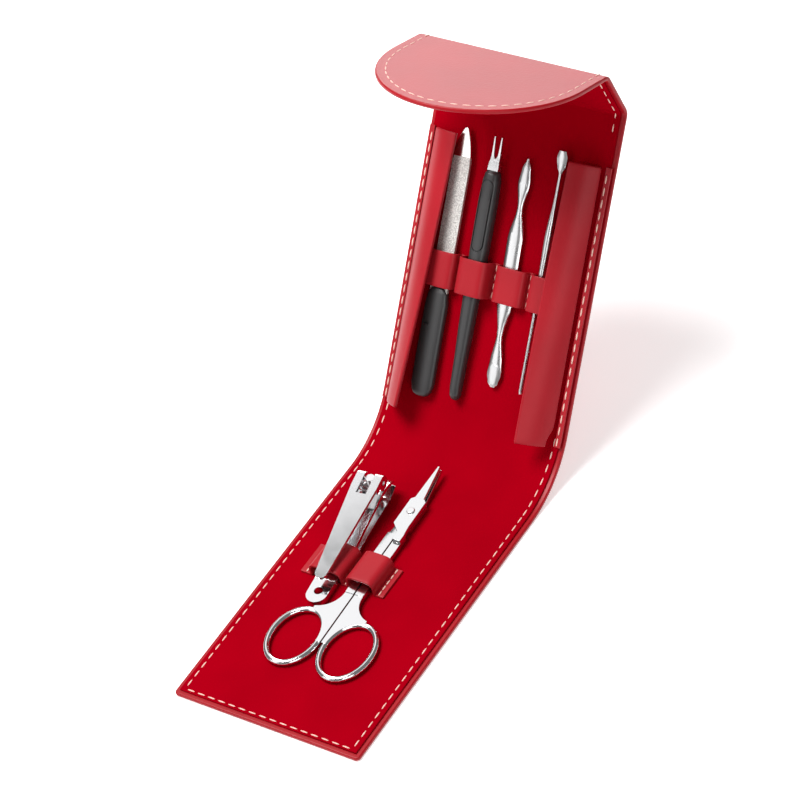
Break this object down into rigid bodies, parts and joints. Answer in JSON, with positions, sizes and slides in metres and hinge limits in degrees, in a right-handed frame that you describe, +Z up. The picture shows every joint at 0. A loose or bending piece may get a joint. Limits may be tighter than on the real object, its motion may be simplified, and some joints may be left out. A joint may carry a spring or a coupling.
{
  "type": "manicure set case",
  "caption": "Folding manicure case, open and standing on one panel, with a soft curved spine, flap, side guards and tool loops holding grooming tools.",
  "frame": {"origin": "centre of the front panel's underside, which lies flat", "axes": "+X across the case, +Y from the front edge to the fold, +Z up"},
  "size_m": [0.07, 0.1989, 0.132],
  "materials": {
    "outer_leather": "fine pebbled red artificial leather, satin",
    "spine_leather": "red artificial leather on the folding spine",
    "lining": "smooth darker red lining with a soft sheen",
    "strap": "red strap leather with pale stitching",
    "guard": "folded red leather, stitched edge",
    "board": "grey-brown stiffening board",
    "polished_steel": "polished steel",
    "satin_steel": "satin steel",
    "screw_steel": "turned steel",
    "handle_plastic": "dark grey satin plastic"
  },
  "bodies": {
    "front_panel": {"front_cover": "outer_leather", "front_board": "board", "front_lining": "lining", "loop_strap": "strap"},
    "spine_strip_1": {"spine_strip_1": "spine_leather"},
    "spine_strip_2": {"spine_strip_2": "spine_leather"},
    "spine_strip_3": {"spine_strip_3": "spine_leather"},
    "back_panel": {"back_cover": "outer_leather", "back_board": "board", "back_lining": "lining", "tool_strap": "strap", "left_guard_hem": "guard", "right_guard_hem": "guard"},
    "left_guard": {"left_guard": "guard"},
    "right_guard": {"right_guard": "guard"},
    "top_spine": {"top_spine": "spine_leather"},
    "flap": {"flap_cover": "outer_leather", "flap_board": "board", "flap_lining": "lining"},
    "file": {"file_blade": "satin_steel", "file_handle": "handle_plastic"},
    "trimmer": {"trimmer_fork": "satin_steel", "trimmer_handle": "handle_plastic"},
    "cuticle_pusher": {"cuticle_pusher": "polished_steel"},
    "ear_pick": {"ear_pick": "polished_steel"},
    "clipper": {"clipper_lower_jaw": "polished_steel"},
    "clipper_jaw": {"clipper_upper_jaw": "polished_steel"},
    "clipper_post": {"clipper_post": "screw_steel", "clipper_pin": "screw_steel"},
    "clipper_lever": {"clipper_lever": "polished_steel"},
    "scissors_left": {"scissors_left_half": "polished_steel", "scissors_screw": "screw_steel"},
    "scissors_right": {"scissors_right_half": "polished_steel"}
  },
  "joints": [
    {"name": "fold_1", "type": "hinge", "parent": "front_panel", "child": "spine_strip_1", "pos_m": [0, 0.052, 0.0011], "axis": [-1, 0, 0], "range_deg": [-11.8, 4.54]},
    {"name": "fold_2", "type": "hinge", "parent": "spine_strip_1", "child": "spine_strip_2", "pos_m": [0, 0.05956, 0.00192], "axis": [-1, 0, 0], "range_deg": [-52.25, 20.1]},
    {"name": "fold_3", "type": "hinge", "parent": "spine_strip_2", "child": "spine_strip_3", "pos_m": [0, 0.06826, 0.00508], "axis": [-1, 0, 0], "range_deg": [-18.9, 7.27]},
    {"name": "fold_4", "type": "hinge", "parent": "spine_strip_3", "child": "back_panel", "pos_m": [0, 0.07583, 0.01039], "axis": [-1, 0, 0], "range_deg": [-48.3, 18.58]},
    {"name": "top_fold", "type": "hinge", "parent": "back_panel", "child": "top_spine", "pos_m": [0, 0.14582, 0.09478], "axis": [-1, 0, 0], "range_deg": [-32.25, 56]},
    {"name": "flap_fold", "type": "hinge", "parent": "top_spine", "child": "flap", "pos_m": [0, 0.14034, 0.11328], "axis": [-1, 0, 0], "range_deg": [-37.5, 52.5]},
    {"name": "left_guard_fold", "type": "hinge", "parent": "back_panel", "child": "left_guard", "pos_m": [-0.0312, 0.07754, 0.01525], "axis": [0, -0.6361, -0.7716], "range_deg": [-5, 90]},
    {"name": "right_guard_fold", "type": "hinge", "parent": "back_panel", "child": "right_guard", "pos_m": [0.0312, 0.07754, 0.01525], "axis": [0, 0.6361, 0.7716], "range_deg": [-5, 90]},
    {"name": "file_slide", "type": "slide", "parent": "back_panel", "child": "file", "axis": [0, 0.6361, 0.7716], "range_m": [0, 0.015]},
    {"name": "trimmer_slide", "type": "slide", "parent": "back_panel", "child": "trimmer", "axis": [0, 0.6361, 0.7716], "range_m": [0, 0.015]},
    {"name": "pusher_slide", "type": "slide", "parent": "back_panel", "child": "cuticle_pusher", "axis": [0, 0.6361, 0.7716], "range_m": [0, 0.015]},
    {"name": "ear_pick_slide", "type": "slide", "parent": "back_panel", "child": "ear_pick", "axis": [0, 0.6361, 0.7716], "range_m": [0, 0.015]},
    {"name": "scissors_slide", "type": "slide", "parent": "front_panel", "child": "scissors_left", "axis": [0.0279, -0.9996, 0], "range_m": [0, 0.06]},
    {"name": "scissors_open", "type": "hinge", "parent": "scissors_left", "child": "scissors_right", "pos_m": [-0.0015, 0.0386, 0.0042], "axis": [0, 0, 1], "range_deg": [0, 40], "deforming": ["loop_strap"]},
    {"name": "clipper_slide", "type": "slide", "parent": "front_panel", "child": "clipper", "axis": [-0.0976, 0.9952, 0], "range_m": [0, 0.005]},
    {"name": "jaw_squeeze", "type": "hinge", "parent": "clipper", "child": "clipper_jaw", "pos_m": [-0.01246, 0.00403, 0.00435], "axis": [-0.9952, -0.0976, 0], "range_deg": [0, 2.4], "stiffness_Nm_per_rad": 0.3, "springref_deg": -1.15},
    {"name": "lever_swivel", "type": "hinge", "parent": "clipper", "child": "clipper_post", "pos_m": [-0.01599, 0.03998, 0.0072], "axis": [0, 0, -1], "range_deg": [0, 110]},
    {"name": "lever_lift", "type": "hinge", "parent": "clipper_post", "child": "clipper_lever", "pos_m": [-0.01599, 0.03998, 0.0132], "axis": [-0.9952, -0.0976, 0], "range_deg": [0, 150]}
  ]
}
